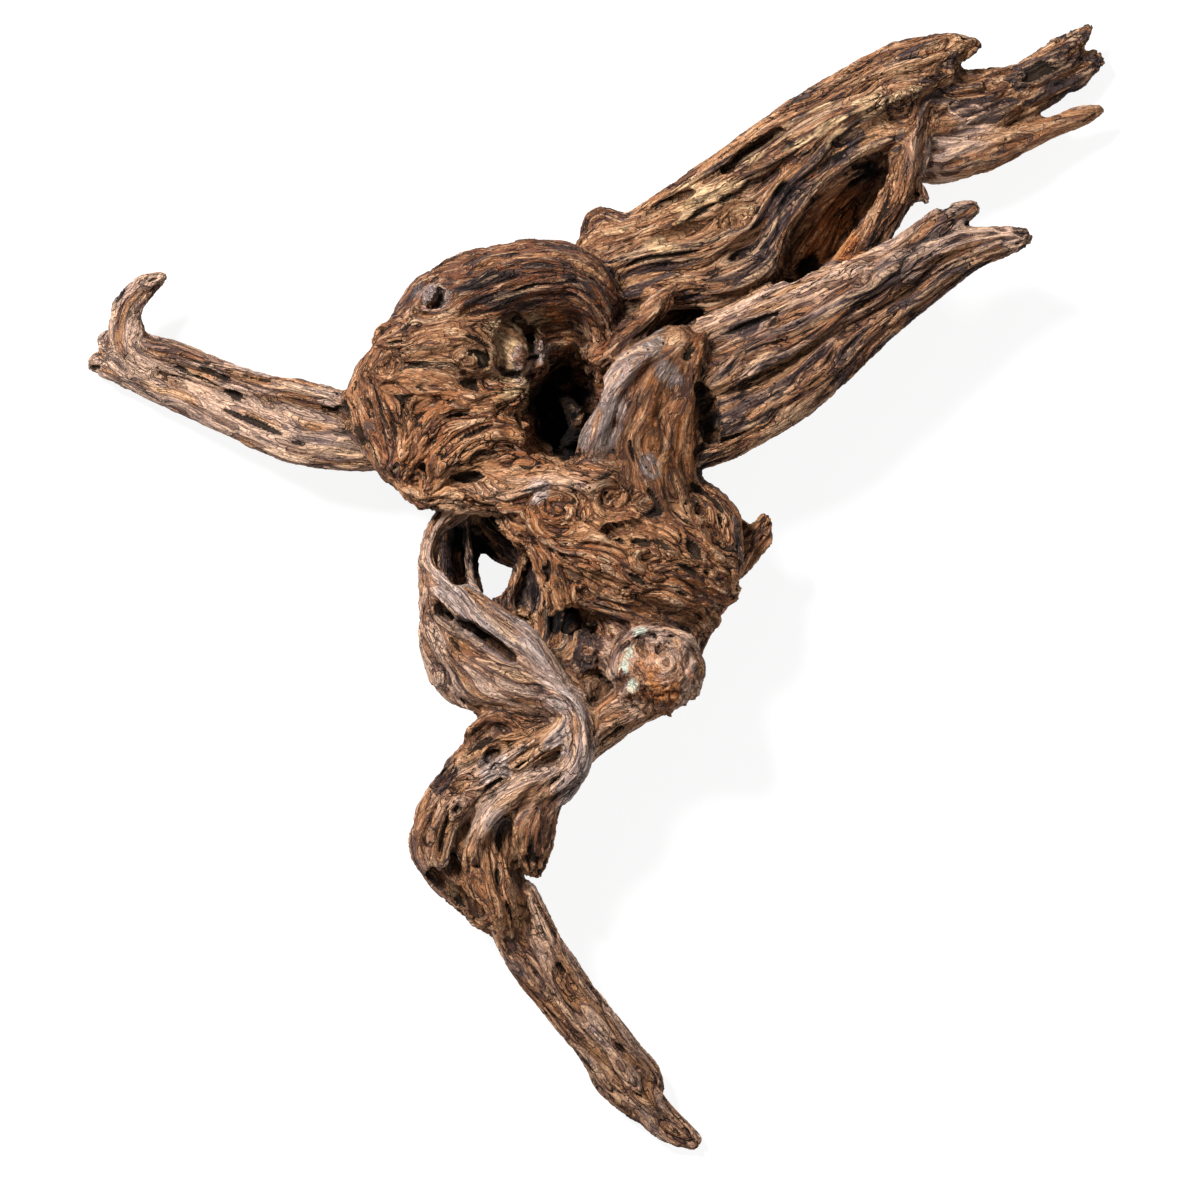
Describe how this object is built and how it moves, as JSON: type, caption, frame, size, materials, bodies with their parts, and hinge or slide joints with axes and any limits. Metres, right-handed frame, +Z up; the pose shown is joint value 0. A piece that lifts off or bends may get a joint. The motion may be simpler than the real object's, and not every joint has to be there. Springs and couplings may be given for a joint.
{
  "type": "driftwood",
  "caption": "Weathered driftwood root with a hollow burl, a looped waist, a forked crown and a tapering leg, lying on its back.",
  "frame": {"origin": "on the ground, in the middle of the footprint of the piece as it lies", "axes": "+Z up from the ground, towards the side that the picture shows; +Y along the long way, from the leg's tip towards the crown; +X from the left arm towards the crown's tips"},
  "size_m": [0.5123, 0.567, 0.0879],
  "materials": {
    "weathered_wood": "dry matt, finely grooved, with near-black creases and pale worn ridges"
  },
  "bodies": {
    "root": {"driftwood": "weathered_wood"}
  },
  "joints": []
}
